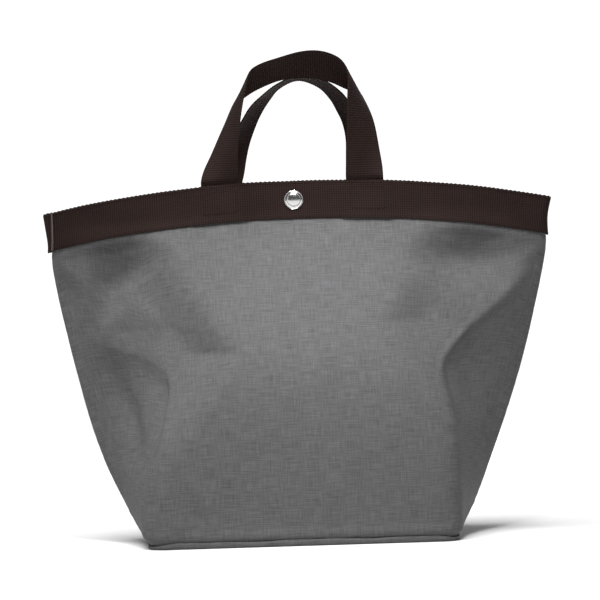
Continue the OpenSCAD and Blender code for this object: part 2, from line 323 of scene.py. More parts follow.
# Dents: place (x, z), size along and across, height out of the cloth, turn in degrees
# Creases: the points of a line, width, height, and how much the cloth on its left is raised
FRONT_DENTS = (
    ((178, 274), (62, 21), -14, -4), ((176, 240), (44, 17), 0.4, 20), ((-192, 260), (50, 32), -13.5, 14),
    ((-112, 232), (36, 44), 3, 0), ((112, 234), (36, 44), 3, 0), ((0, 185), (70, 60), -3, 0),
    ((-118, 18), (21, 10), 2.4, 0),
)
FRONT_CREASES = (
    (((-140, 312), (-104, 256), (-60, 190)), 22, 3, 0),
    (((-140, 282), (-180, 262), (-200, 232), (-205, 205), (-194, 158), (-180, 120), (-163, 76)), 11, -6.5, 5),
    (((-147, 164), (-149, 124), (-153, 80)), 8, -4.5, 2),
    (((-140, 312), (-112, 286), (-86, 258)), 11, 2.0, 0),
    (((-98, 308), (-80, 280), (-68, 246)), 9, -1.6, 0),
    (((134, 312), (108, 286), (84, 256)), 12, 1.4, 0),
    (((-108, 38), (-98, 24), (-90, 8)), 5, -1.6, 0),
    (((-226, 303), (-219, 297), (-210, 288)), 3.5, -1.6, 0),
    (((-196, 306), (-191, 298), (-187, 290)), 4, -1.2, 0),
    (((222, 302), (206, 295), (184, 290)), 4, -1.0, 0),
)
BACK_DENTS = (
    ((-170, 282), (56, 17), -6, 0), ((-172, 246), (44, 18), 3, -20), ((182, 280), (48, 18), -7, -12),
    ((108, 228), (40, 46), 4, 0), ((-108, 236), (38, 40), 4, 0), ((112, 22), (22, 10), 2.0, 0),
)
BACK_CREASES = (
    (((150, 262), (188, 240), (200, 208), (186, 150)), 11, -4, -2),
    (((124, 308), (100, 284), (80, 252)), 12, 1.6, 0),
    (((-60, 60), (-10, 74), (40, 66)), 12, -1.6, 0),
)


def folds(x, z, dents, creases):
    return sum(dent(x, z, *d) for d in dents) + sum(crease(x, z, *c) for c in creases)


def front_relief(x, z):
    """How far the front stands out of its plain shape: it was read off the photograph's light and shade."""
    out = folds(x, z, FRONT_DENTS, FRONT_CREASES)
    out -= recess(-x, z, 50 + 0.6 * np.abs(z - 188), 26, 70, (30, 168), (172, 318))
    out -= recess(x, z, 72 + 0.6 * np.abs(z - 215), 18, 60, (60, 172), (185, 318))
    sharp_corner = hump(x, crease_x(z) + 4, 9) * ramp(50, 110, z) * (1 - ramp(225, 280, z))
    return out + 3.2 * sharp_corner


def waves(x, z):
    """The slack that any cloth has, in long low waves."""
    out = 0.55 * np.sin(x / 31 + 0.9 * np.sin(z / 47) + 0.4) * np.sin(z / 43 + 1.3)
    out += 0.35 * np.sin(x / 17 - z / 59 + 2.1) * np.sin(z / 27 + x / 90)
    return out


def puckers(s, depth):
    """Small uneven gathers along a sewn edge, s mm along it."""
    return depth * (np.sin(s / 2.1 + 1.4 * np.sin(s / 9)) + 0.7 * np.sin(s / 3.7 + 2 * np.sin(s / 23)))


def relief(t, z):
    """How far the cloth stands off the wall."""
    x, _ = wall(t, z)
    f = fold(t)
    front = np.abs(t) <= 1
    drop = rim_z(t) - WEBBING_W - z                 # mm below the band
    made = np.where(front, front_relief(x, z), folds(x, z, BACK_DENTS, BACK_CREASES))
    made += waves(x, z)
    made = made * ramp(-1, 14, drop) * ramp(4, 34, z) * (1 - ramp(0.93, 0.995, f))
    s = across(t)
    made += puckers(s, 0.22) * hump(drop, 3, 7) * ramp(-2, 2, drop) * (1 - ramp(0.93, 0.99, f))
    made += puckers(s + 40, 0.25) * hump(z, 12, 8) * (1 - ramp(0.93, 0.99, f))
    made += puckers(z * 1.2 + 9, 0.25) * hump(f, 0.972, 0.02) * ramp(0, 20, drop)
    made -= 0.9 * hump(f, 1, 0.011) * ramp(0, 12, drop)            # the side seam draws the cloth in
    made -= 2.4 * (1 - ramp(FLANGE_H - 1.5, FLANGE_H + 2, z))      # and so does the base seam
    made += 0.9 * hump(z, FLANGE_H + 5, 4)
    return made


# -------------------------------- materials
class Graph:
    """A short way to write a material's node tree."""

    def __init__(self, name):
        self.material = bpy.data.materials.new(name)
        self.material.use_nodes = True
        self.nodes = self.material.node_tree.nodes
        self.links = self.material.node_tree.links
        self.nodes.clear()

    def node(self, kind, inputs=None, **settings):
        n = self.nodes.new(kind)
        for key, value in settings.items():
            setattr(n, key, value)
        for key, value in (inputs or {}).items():
            self.put(n.inputs[key], value)
        return n

    def put(self, socket, value):
        if isinstance(value, bpy.types.NodeSocket):
            self.links.new(value, socket)
        else:
            socket.default_value = value

    def math(self, operation, a, b=0.0, c=0.0):
        return self.node("ShaderNodeMath", {0: a, 1: b, 2: c}, operation=operation).outputs[0]

    def uv(self, sx=1.0, sy=1.0):
        at = self.node("ShaderNodeUVMap", uv_map="cloth").outputs[0]
        return self.node("ShaderNodeMapping", {"Vector": at, "Scale": (sx, sy, 1)}).outputs[0]

    def noise(self, vector, scale, detail=3.0, rough=0.5):
        inputs = {"Vector": vector, "Scale": scale, "Detail": detail, "Roughness": rough}
        return self.node("ShaderNodeTexNoise", inputs).outputs[0]

    def solid_noise(self, scale, detail):
        """Noise through the piece itself, whatever its UV."""
        at = self.node("ShaderNodeTexCoord").outputs["Object"]
        vector = self.node("ShaderNodeMapping", {"Vector": at, "Scale": (scale,) * 3}).outputs[0]
        return self.noise(vector, 1.0, detail)

    def spread(self, tone, part, share):
        """tone with a part of the pattern added to it, which lightens it as much as it darkens it."""
        return self.math("MULTIPLY_ADD", part, share, self.math("SUBTRACT", tone, share / 2))

    def blend(self, share, a, b):
        n = self.node("ShaderNodeMix", data_type="RGBA")
        self.put(n.inputs[0], share)
        self.put(n.inputs[6], a)
        self.put(n.inputs[7], b)
        return n.outputs[2]

    def bump(self, height, strength, distance, normal=None):
        inputs = {"Height": height, "Strength": strength, "Distance": distance}
        if normal is not None:
            inputs["Normal"] = normal
        return self.node("ShaderNodeBump", inputs).outputs[0]

    def finish(self, **inputs):
        shader = self.node("ShaderNodeBsdfPrincipled", {k.replace("_", " "): v for k, v in inputs.items()})
        out = self.node("ShaderNodeOutputMaterial")
        self.links.new(shader.outputs[0], out.inputs[0])
        return self.material


def grey(v):
    return (v, v, v, 1)


def thread_wave(g, coordinate, pitch):
    """0 to 1 across each thread."""
    turns = g.math("MULTIPLY", coordinate, math.pi / pitch)
    return g.math("ABSOLUTE", g.math("SINE", turns))


def weave(g, pitch_u, pitch_v):
    """Height of a plain weave, from the UV in mm."""
    at = g.node("ShaderNodeSeparateXYZ", {0: g.uv()}).outputs
    a = g.math("SINE", g.math("MULTIPLY", at[0], math.pi / pitch_u))
    b = g.math("SINE", g.math("MULTIPLY", at[1], math.pi / pitch_v))
    over = g.math("MULTIPLY_ADD", g.math("MULTIPLY", a, b), 0.5, 0.5)
    warp = thread_wave(g, at[0], pitch_u)
    weft = thread_wave(g, at[1], pitch_v)
    both = g.node("ShaderNodeMix", data_type="FLOAT")
    for k, value in ((0, over), (2, warp), (3, weft)):
        g.put(both.inputs[k], value)
    return both.outputs[0], over


WARP_PITCH = 0.62
WEFT_PITCH = 0.58
WEAVE_H = 0.12
SLUB_H = 0.5


def canvas_material():
    """A coated plain weave with uneven threads. tone runs from the dark colour, 0, to the light one, 1."""
    g = Graph("canvas_grey")
    height, over = weave(g, WARP_PITCH, WEFT_PITCH)
    slub_across = g.noise(g.uv(0.05, 1.0), 1.0, 3, 0.6)
    slub_up = g.noise(g.uv(0.8, 0.06), 1.0, 3, 0.6)
    fleck = g.noise(g.uv(0.7, 0.7), 1.0, 3, 0.6)
    patch = g.noise(g.uv(0.045, 0.045), 1.0, 3, 0.55)
    slub = g.math("ADD", slub_across, slub_up)
    tone = g.math("SUBTRACT", slub, 0.5)
    for part, share in ((slub_across, 0.35), (fleck, 0.16), (patch, 0.14), (over, 0.14)):
        tone = g.spread(tone, part, share)
    colour = g.blend(tone, (0.053, 0.0520, 0.0510, 1), (0.134, 0.1345, 0.139, 1))
    rough = g.math("MULTIPLY_ADD", slub_across, 0.16, 0.6)
    normal = g.bump(height, 0.35, WEAVE_H * MM)
    normal = g.bump(slub, 0.25, SLUB_H * MM, normal)
    return g.finish(Base_Color=colour, Roughness=rough, Normal=normal, Specular_IOR_Level=0.1)


def webbing_material(name, dark, light, pitch=RIB):
    """Ribbed webbing: broad ribs, rows across them, and the yarns and hairs of its thread. The crests of the
    ribs and rows are painted lighter and the grooves between them darker, as painted highlight and painted
    shade.
    """
    g = Graph(name)
    at = g.node("ShaderNodeSeparateXYZ", {0: g.uv()}).outputs
    rib_crest_highlight = thread_wave(g, at[0], pitch)
    row = thread_wave(g, at[1], pitch)
    yarn = thread_wave(g, at[0], pitch / 5)
    hair = g.noise(g.uv(0.5, 3.5), 1.0, 3, 0.6)
    patch = g.noise(g.uv(0.02, 0.05), 1.0, 2, 0.5)
    # painted highlight on the crests of the ribs and rows, painted shade in the grooves between them
    tone = g.math("MULTIPLY_ADD", rib_crest_highlight, 0.55, g.math("MULTIPLY", row, 0.25))
    tone = g.math("MULTIPLY_ADD", hair, 0.5, g.math("SUBTRACT", tone, 0.3))
    tone = g.spread(tone, patch, 0.3)
    colour = g.blend(tone, dark, light)
    fine = g.math("MULTIPLY_ADD", yarn, 0.4, hair)
    normal = g.bump(fine, 0.4, 0.15 * MM)
    normal = g.bump(row, 0.5, 0.25 * MM, normal)
    return g.finish(Base_Color=colour, Roughness=0.8, Normal=normal, Specular_IOR_Level=0.05)


def thread_material():
    g = Graph("thread_brown")
    twist = g.solid_noise(900, 2)
    colour = g.blend(twist, (0.009, 0.0056, 0.005, 1), (0.026, 0.017, 0.015, 1))
    normal = g.bump(twist, 0.4, 0.1 * MM)
    return g.finish(Base_Color=colour, Roughness=0.7, Normal=normal, Specular_IOR_Level=0.05)


def nickel_material():
    g = Graph("nickel_plate")
    fine = g.solid_noise(700, 4)
    wide = g.solid_noise(160, 2)
    colour = g.blend(wide, (0.74, 0.735, 0.72, 1), (0.84, 0.835, 0.82, 1))
    rough = g.math("MULTIPLY_ADD", fine, 0.12, 0.14)
    return g.finish(Base_Color=colour, Metallic=1.0, Roughness=rough, Normal=g.bump(fine, 0.06, 0.1 * MM))


CANVAS = canvas_material()
WEBBING = webbing_material("webbing_brown", (0.0070, 0.0040, 0.0035, 1), (0.036, 0.0225, 0.0200, 1))
TAPE = webbing_material("tape_brown", (0.012, 0.008, 0.007, 1), (0.040, 0.028, 0.025, 1), 1.4)
CUT_EDGE = webbing_material("webbing_cut_edge", (0.06, 0.048, 0.044, 1), (0.16, 0.13, 0.12, 1), 1.1)
THREAD = thread_material()
NICKEL = nickel_material()


# -------------------------------- meshes
def placed(name, data):
    """A new object in the scene, for a mesh or a light."""
    o = bpy.data.objects.new(name, data)
    scene.collection.objects.link(o)
    return o


def grid_normals(points):
    across = np.gradient(points, axis=1)
    up = np.gradient(points, axis=0)
    n = np.cross(across, up)
    return n / np.maximum(np.linalg.norm(n, axis=-1), 1e-9)[..., None]


EDGE_COLUMNS = 3                  # of a sheet whose cut edge shows


def trimmed(grid, sides):
    """Takes off the extra rows or columns that a grid had for its normals: (bottom, top, left, right)."""
    bottom, top, left, right = sides
    return grid[bottom:grid.shape[0] - top, left:grid.shape[1] - right]


def shell(name, outer, inner, uv, skin, extra=(0, 0, 0, 0), edge_skin=None):
    """A closed sheet between two grids of points, (rows, columns, 3) in mm. uv is (rows, columns, 2) in mm.

    extra says how many rows and columns to trim off. edge_skin, if any, goes on the sheet's last columns.
    """
    normals = [trimmed(grid_normals(g), extra) for g in (outer, inner)]
    outer, inner, uv = (trimmed(g, extra) for g in (outer, inner, uv))
    rows, columns = outer.shape[:2]
    turned = np.mean(np.sum(normals[0] * (outer - inner), -1)) < 0
    if turned:
        normals = [-n for n in normals]
    normals[1] = -normals[1]
    layer = rows * columns
    j, i = np.meshgrid(np.arange(rows - 1), np.arange(columns - 1), indexing="ij")
    a = (j * columns + i).ravel()
    face = np.stack([a, a + 1, a + columns + 1, a + columns], -1)
    low = np.arange(columns - 1)
    high = low + (rows - 1) * columns
    first = np.arange(rows - 1) * columns
    last = first + columns - 1
    rims = [
        np.stack([low + layer, low + 1 + layer, low + 1, low], -1),
        np.stack([high, high + 1, high + 1 + layer, high + layer], -1),
        np.stack([first, first + columns, first + columns + layer, first + layer], -1),
        np.stack([last + layer, last + columns + layer, last + columns, last], -1),
    ]
    faces = np.concatenate([face, face[:, ::-1] + layer, *rims])
    if turned:
        faces = faces[:, ::-1]
    points = np.concatenate([outer.reshape(-1, 3), inner.reshape(-1, 3)]) * MM
    mesh = bpy.data.meshes.new(name)
    mesh.vertices.add(len(points))
    mesh.vertices.foreach_set("co", points.astype(np.float32).ravel())
    mesh.loops.add(len(faces) * 4)
    mesh.loops.foreach_set("vertex_index", faces.astype(np.int32).ravel())
    mesh.polygons.add(len(faces))
    mesh.polygons.foreach_set("loop_start", np.arange(0, len(faces) * 4, 4, dtype=np.int32))
    mesh.update(calc_edges=True)
    mesh.materials.append(skin)
    flat_uv = np.concatenate([uv.reshape(-1, 2)] * 2)[faces.ravel()]
    mesh.uv_layers.new(name="cloth").data.foreach_set("uv", flat_uv.astype(np.float32).ravel())
    mesh.polygons.foreach_set("use_smooth", np.ones(len(faces), bool))
    if edge_skin:
        mesh.materials.append(edge_skin)
        slot = np.zeros(len(faces), np.int32)
        slot[:len(a)] = i.ravel() >= columns - EDGE_COLUMNS
        slot[-(rows - 1):] = 1
        mesh.polygons.foreach_set("material_index", slot)
    flat = np.concatenate([n.reshape(-1, 3) for n in normals])[faces.ravel()].reshape(-1, 4, 3)
    p = points[faces]
    own = np.cross(p[:, 2] - p[:, 0], p[:, 3] - p[:, 1])
    own /= np.maximum(np.linalg.norm(own, axis=1), 1e-12)[:, None]
    flat[2 * len(a):] = own[2 * len(a):, None]
    mesh.normals_split_custom_set(flat.reshape(-1, 3).tolist())
    return placed(name, mesh)


def smooth_mesh(name, points, faces, skin):
    """A smooth mesh of points, in mm, and faces."""
    mesh = bpy.data.meshes.new(name)
    mesh.from_pydata((np.asarray(points) * MM).tolist(), [], faces)
    mesh.polygons.foreach_set("use_smooth", np.ones(len(mesh.polygons), bool))
    mesh.materials.append(skin)
    mesh.update()
    return placed(name, mesh)


# The four quarters of everything that goes round the mouth, and their range of t
QUARTERS = {
    "front_left": (-1.0, 0.0),
    "front_right": (0.0, 1.0),
    "back_right": (1.0, 2.0),
    "back_left": (-2.0, -1.0),
}


def swing(o):
    """Bakes the piece's placement into its mesh and returns the piece.
    """
    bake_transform(o)
    return o


def length_along(points):
    """How far each point is along the line that joins them."""
    return np.concatenate([[0], np.cumsum(np.linalg.norm(np.diff(points, axis=0), axis=1))])


def even_columns(t0, t1, off, pitch):
    """t at even steps along the line that stands off the rim by off, with one more step at each end."""
    t = np.linspace(t0, t1, 4001)
    s = length_along(off_wall(t, np.full_like(t, BAND_Z), off, BAND_E)[:, :2])
    count = int(round(s[-1] / pitch))
    even = np.interp(np.linspace(0, s[-1], count + 1), s, t)
    step = (even[1] - even[0], even[-1] - even[-2])
    return np.concatenate([[t0 - step[0]], even, [t1 + step[1]]]), s[-1]


# -------------------------------- canvas
CLOTH_PITCH = 2.5
CLOTH_LOW = FLANGE_H - 2.5
PANEL_EDGE = 1.5
ROW_POWER = 1.25


def cloth_grid(t0, t1):
    """t and z over the cloth, with rows closer together near the base seam."""
    columns = int(round(MOUTH_HX / CLOTH_PITCH))
    rows = int(round(RIM_HEIGHT / CLOTH_PITCH))
    step = (t1 - t0) / columns
    t = np.linspace(t0 - step, t1 + step, columns + 3)[None, :]
    r = np.linspace(0, 1, rows + 1)[:, None]
    top = rim_z(t) - PANEL_EDGE
    z = mix(CLOTH_LOW, top, r ** ROW_POWER)
    return np.broadcast_arrays(t, z)


def cloth(name, t0, t1):
    """The canvas from t0 to t1. Its UV starts at the middle of its wall, so the weave runs on past it."""
    t, z = cloth_grid(t0, t1)
    made = relief(t, z)
    outer = off_wall(t, z, made)
    inner = off_wall(t, z, made - CLOTH_T)
    steps = np.linalg.norm(np.diff(outer, axis=0), axis=-1)
    rise = np.concatenate([np.zeros((1, t.shape[1])), np.cumsum(steps, 0)])
    middle = 2 * np.sign(t0 + t1) if abs(t0 + t1) > 1 else 0
    uv = np.stack([(t - middle) * (MOUTH_HX + 1), rise], -1)
    return shell("cloth_" + name, outer, inner, uv, CANVAS, (0, 0, 1, 1))


for quarter_name, (t0, t1) in QUARTERS.items():
    o = cloth(quarter_name, t0, t1)
    swing(o)
    side = quarter_name.split("_")[0]
    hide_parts(side + "_panel", quarter_name.replace("_", "_panel_"))


# -------------------------------- base
def rounded_line(hx, hy, r, step=2.5):
    """Points and outward directions of a rounded rectangle, anticlockwise from its right side's middle."""
    points, outs = [], []

    def straight(a, b, out):
        n = max(2, int(np.hypot(*(np.subtract(b, a))) / step))
        for k in range(n):
            points.append(np.add(a, np.subtract(b, a) * k / n))
            outs.append(out)

    def turn(centre, start):
        n = max(6, int(r * math.pi / 2 / step))
        for k in range(n):
            a = math.radians(start + 90 * k / n)
            outs.append((math.cos(a), math.sin(a)))
            points.append((centre[0] + r * math.cos(a), centre[1] + r * math.sin(a)))

    x, y = hx - r, hy - r
    straight((hx, 0), (hx, y), (1, 0))
    turn((x, y), 0)
    straight((x, hy), (-x, hy), (0, 1))
    turn((-x, y), 90)
    straight((-hx, y), (-hx, -y), (-1, 0))
    turn((-x, -y), 180)
    straight((-x, -hy), (x, -hy), (0, -1))
    turn((x, -y), 270)
    straight((hx, -y), (hx, 0), (1, 0))
    return np.array(points), np.array(outs)


def ring_mesh(name, rings, skin, cap_first=False, cap_last=False):
    """Closed rings of points, (rings, points, 3) in mm, joined in order. A cap fills a ring with a fan."""
    rings = np.asarray(rings)
    n_rings, n = rings.shape[:2]
    points = list(rings.reshape(-1, 3))
    faces = []
    for j in range(n_rings - 1):
        for i in range(n):
            a, b = j * n + i, j * n + (i + 1) % n
            faces.append((a, b, b + n, a + n))
    for wanted, ring, turned in ((cap_first, 0, True), (cap_last, n_rings - 1, False)):
        if wanted:
            points.append(rings[ring].mean(0))
            for i in range(n):
                a, b = ring * n + i, ring * n + (i + 1) % n
                faces.append((b, a, len(points) - 1) if turned else (a, b, len(points) - 1))
    o = smooth_mesh(name, points, faces, skin)
    layer = o.data.uv_layers.new(name="cloth")
    for loop in o.data.loops:
        x, y, z = o.data.vertices[loop.vertex_index].co / MM
        layer.data[loop.index].uv = (x, y + z)
    return o


def flange_top(p):
    """The base's turned-up edge is lower at the corners, and wavers."""
    corner = ramp(BASE_HX - 30, BASE_HX - 3, np.abs(p[:, 0])) * ramp(BASE_HY - 40, BASE_HY, np.abs(p[:, 1]))
    waver = 0.5 * np.sin(p[:, 0] / 19 + 1.1) + 0.3 * np.sin(p[:, 0] / 8.3 + p[:, 1] / 11)
    return (FLANGE_H - 0.9 + waver) * (1 - 0.45 * corner)


def level_ring(line, z):
    """A ring of points at one height, or at a height for each."""
    return np.column_stack([line, np.broadcast_to(z, len(line))])


def base_tray():
    """The outer base: a sagging bottom whose edge turns up round the walls, and its inner face."""
    line, out = rounded_line(BASE_HX, BASE_HY, BASE_CORNER - 2)
    top = flange_top(line)
    rings = []
    for share in (0.2, 0.4, 0.6, 0.8, 0.93):
        p = line * share
        sag = 0.5 * (1 - share) + 0.25 * np.sin(p[:, 0] / 31) * np.cos(p[:, 1] / 27) * (share < 0.9)
        rings.append(level_ring(p, np.maximum(sag, 0.02)))
    outside = ((4, 0.0), (1.8, 0.35), (0.6, 1.3), (0.15, 2.6), (0.0, top * 0.65), (0.15, top * 0.85))
    over_the_edge = ((0.7, top), (1.5, top + 0.1), (2.0, top - 0.8))
    inside = ((1.3, 2.4), (2.6, 1.2), (5.5, 0.95))
    for inset, z in outside + over_the_edge + inside:
        rings.append(level_ring(line - out * inset, z))
    for share in (0.9, 0.6, 0.3):
        rings.append(level_ring(line * share, 1.2))
    return ring_mesh("base_cloth", rings, CANVAS, cap_first=True, cap_last=True)


def base_inside():
    """The second layer of canvas, which lies on the first with a little slack."""
    line, _ = rounded_line(BASE_HX - 9, BASE_HY - 9, BASE_CORNER - 8)
    low = CANVAS_T + GAP + 0.2
    rings = [level_ring(line * share, low) for share in (0.3, 0.7, 1.0)]
    for share in (0.998, 0.97, 0.85, 0.7, 0.5, 0.3, 0.12):
        p = line * share
        swell = low + 0.9 + 0.35 * np.sin(p[:, 0] / 23 + 1) * np.sin(p[:, 1] / 19)
        rings.append(level_ring(p, swell))
    return ring_mesh("base_inner_cloth", rings, CANVAS, cap_first=True, cap_last=True)


def base_tape():
    """The tape that binds the seam allowance inside the base seam."""
    line, out = rounded_line(BASE_HX - 2.6, BASE_HY - 2.6, BASE_CORNER - 4)
    low, high = (corner.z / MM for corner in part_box("base_seam_binding"))
    s = np.arange(len(line)) * 2.5
    wave = 0.35 * np.sin(s / 11)
    rings = []
    for inset, z in ((0, low), (0, high - 0.5), (0.6, high), (1.4, high - 0.5), (1.5, low), (0.7, low - 0.1)):
        p = line - out * (inset + wave * (z > low + 2))[:, None]
        rings.append(level_ring(p, z))
    rings.append(rings[0])
    return ring_mesh("base_seam_tape", rings, TAPE)


for make, node, slot_name in (
    (base_tray, "base_panel", "canvas"),
    (base_inside, "base_lining", "canvas"),
    (base_tape, "base_seam_binding", "tape"),
):
    o = make()
    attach(o, "bag")
    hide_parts(node)


# -------------------------------- webbing
RIB_H = 0.24
RIB_PITCH = RIB / 4
BAND_ROWS = 33
BAND_EDGE = 18                    # the ribs' ends stand out past this, from the webbing's middle
EDGE_ROUND = 1.1


def rib_height(s, w):
    """Height of the webbing's face at s along it and w across it: ribs across, crossed by fainter rows."""
    return RIB_H * (np.abs(np.sin(np.pi * s / RIB)) - 0.6) + 0.1 * RIB_H * np.cos(2 * np.pi * w / RIB)


def edge_round(w, width):
    """1 over the webbing, falling to 0 at its two edges."""
    d = np.clip((width / 2 - np.abs(w)) / EDGE_ROUND, 0, 1)
    return np.sqrt(1 - (1 - d) ** 2)


def width_rows(width):
    """Places across the webbing, closer at its edges."""
    w = np.linspace(-width / 2 + EDGE_ROUND, width / 2 - EDGE_ROUND, BAND_ROWS - 4)
    return np.concatenate([[-width / 2, -width / 2 + 0.35], w, [width / 2 - 0.35, width / 2]])


def over_foot(t):
    """1 where the band goes over the foot of a handle."""
    return 1 - ramp(FOOT_HALF, FOOT_HALF + 0.05, np.abs(fold(t) - FOOT_T))


def band_in(t):
    """How far off the wall the band's inner face is."""
    return GAP + 0.1 + (WEBBING_T + GAP) * over_foot(t) + CORNER_GAP * ramp(0.88, 0.96, fold(t))


def band_sheet(name, t0, t1, lift=0.0, low=0.0, high=0.0, edge_skin=None):
    """Webbing round the mouth from t0 to t1. low and high move its edges."""
    t, length = even_columns(t0, t1, 3, RIB_PITCH)
    s = np.interp(t, [t0, t1], [0, length])
    s[0], s[-1] = -RIB_PITCH, length + RIB_PITCH
    s = s + t0 * 1000                               # so that each piece waves in its own way
    w = width_rows(WEBBING_W)[:, None]
    scallop = 0.32 * np.sin(2 * np.pi * s / 4.3) + 0.12 * np.sin(s / 13)
    top, bottom = w > BAND_EDGE, w < -BAND_EDGE
    z = rim_z(t) - WEBBING_W / 2 + w
    z = z + (scallop * top + 0.3 * scallop * bottom) + high * top + low * bottom
    t, z, s, w = np.broadcast_arrays(t, z, s, w)
    middle = band_in(t) + lift + WEBBING_T / 2 + 0.12 * np.sin(s / 21) * np.sin(w / 9 + s / 37)
    half = WEBBING_T / 2 * mix(0.35, 1, edge_round(w, WEBBING_W))
    outer = off_wall(t, z, middle + half + rib_height(s, w), BAND_E)
    inner = off_wall(t, z, middle - half, BAND_E)
    return shell(name, outer, inner, np.stack([s, w], -1), WEBBING, (0, 0, 1, 1), edge_skin)


for quarter_name, (t0, t1) in QUARTERS.items():
    o = band_sheet("band_" + quarter_name, t0, t1)
    swing(o)
    side, hand = quarter_name.split("_")
    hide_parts(side + "_band", "band_corner_" + hand)

# The band's end, folded round the left corner. Its cut edge is paler.
TAB = (-1.085, -0.962)
TAB_LIFT = WEBBING_T + GAP
tab = band_sheet("band_end_tab", *TAB, TAB_LIFT, low=-0.3, high=0.1, edge_skin=CUT_EDGE)
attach(tab, "bag")
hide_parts("band_overlap")


# -------------------------------- inner tapes
FACING_W = 26
FACING_END = 0.055                # how far short of the side seams it stops, in t


def facing(name, t0, t1):
    """The tape that covers the canvas's raw edge inside the rim."""
    t, length = even_columns(t0, t1, -2, 2.0)
    w = np.linspace(0, FACING_W, 14)[:, None]
    z = rim_z(t) - PANEL_EDGE - FACING_W + w
    s = np.interp(t, [t0, t1], [0, length])
    t, z, s, w = np.broadcast_arrays(t, z, s, w)
    off = -CLOTH_T - GAP - 0.1 - 0.5 * CORNER_GAP * ramp(0.85, 0.95, fold(t))
    outer = off_wall(t, z, off, BAND_E)
    thick = TAPE_T * mix(0.4, 1, np.minimum(1, np.minimum(w, FACING_W - w) / 1.5))
    inner = off_wall(t, z, off - thick, BAND_E)
    return shell(name, outer, inner, np.stack([s, w], -1), TAPE, (0, 0, 1, 1))


for quarter_name, (t0, t1) in QUARTERS.items():
    ends = [v + FACING_END * (1 if v == t0 else -1) if abs(v) == 1 else v for v in (t0, t1)]
    o = facing("facing_" + quarter_name, *ends)
    swing(o)
    side, hand = quarter_name.split("_")
    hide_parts(side + "_facing", "facing_" + hand)


SEAM_TAPE_W = 9


def seam_tape(side):
    """The tape that binds the seam allowance inside a side seam: it sticks into the bag and wavers."""
    low, high = (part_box("side_seam_binding_right")[k].z / MM for k in range(2))
    z = np.linspace(low, high, 110)
    s = z - low
    inset = CANVAS_T + 5
    wave = 1.1 * np.sin(s / 23 + side) + 0.5 * np.sin(s / 9)
    depth = SEAM_TAPE_W * np.array([0, 0.02, 0.25, 0.5, 0.75, 0.98, 1.0])
    half = 0.75 * np.array([0.3, 1, 1, 0.9, 0.8, 0.9, 0.3])
    edge = seam_x(z) + wider(z, WIDER_LEFT if side < 0 else WIDER_RIGHT)
    x = side * (edge[:, None] - inset - depth[None, :])
    bend = wave[:, None] * (depth / SEAM_TAPE_W)[None, :] ** 1.5
    zz = np.repeat(z[:, None], len(depth), 1)
    outer = np.stack([x, bend - half[None, :], zz], -1)
    inner = np.stack([x, bend + half[None, :], zz], -1)
    uv = np.stack([zz, np.repeat(depth[None, :], len(z), 0)], -1)
    return shell("side_seam_tape_" + ("right" if side > 0 else "left"), outer, inner, uv, TAPE)


for hand, side in (("left", -1), ("right", 1)):
    o = seam_tape(side)
    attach(o, "bag")
    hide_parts("side_seam_binding_" + hand)


# -------------------------------- handles
HANDLE_W = 36                     # the webbing draws in a little where it carries weight
FOOT_LOW = RIM_HEIGHT - 29
SMOOTH_STEPS = 21
TOP_Y = 18                        # of the loops, off the bag's middle plane

# Places along each handle from its left foot to its right one, in mm: x and height over the rim of the
# edge nearer the hand's opening, the same for the other edge, and how far off the bag's middle plane
FRONT_PLACES = (
    (-56, 1, -92, 1, 12.5), (-55, 28, -82, 29, 15), (-52.5, 57, -69, 57, 17.5), (-47, 86, -57.5, 80, TOP_Y),
    (-41, 108, -48, 84.5, TOP_Y), (-30, 116, -34, 92.5, TOP_Y), (-10, 122, -12, 101, TOP_Y),
    (10, 127, 9, 103, TOP_Y), (26, 128, 26, 101.5, TOP_Y), (40, 125, 40, 98, TOP_Y), (52, 118, 55, 91, TOP_Y),
    (59, 104, 69, 86, TOP_Y), (58, 84, 75, 79, TOP_Y), (56.5, 57, 83.5, 57, 17.5), (55, 28, 88, 28, 15),
    (54, 1, 90, 1, 12.5),
)
BACK_PLACES = (
    (-51, 1, -87, 1, 12.5), (-48, 22, -76, 22, 14.5), (-44.5, 40, -63, 43, 16.5),
    (-37.5, 59, -50.5, 63, TOP_Y), (-31, 72, -41.5, 76.5, TOP_Y), (-22.5, 84.5, -29, 87.5, TOP_Y),
    (-11.5, 96.5, -13, 98.5, TOP_Y),
    (8, 104, 8, 105.5, TOP_Y), (28.5, 96.5, 33.5, 101, TOP_Y), (40.5, 84, 51, 88.5, TOP_Y),
    (47, 72, 60.5, 77, TOP_Y), (52.5, 59, 73, 64, TOP_Y), (55.5, 41, 81, 43, 16.5), (54.5, 21, 87, 21, 14.5),
    (53, 1, 89, 1, 12.5),
)


def foot_y(z):
    """How far a handle's foot is from the bag's middle plane, inside the band's cloth."""
    return -wall(FOOT_T, z)[1] + GAP + WEBBING_T / 2


def smoothed(values, width):
    """A running mean along the first axis, with its ends held."""
    kernel = np.hanning(width + 2)[1:-1]
    kernel /= kernel.sum()
    before, after = (np.repeat(end, width // 2, 0) for end in (values[:1], values[-1:]))
    padded = np.concatenate([before, values, after])
    return np.column_stack([np.convolve(padded[:, k], kernel, "valid") for k in range(values.shape[1])])


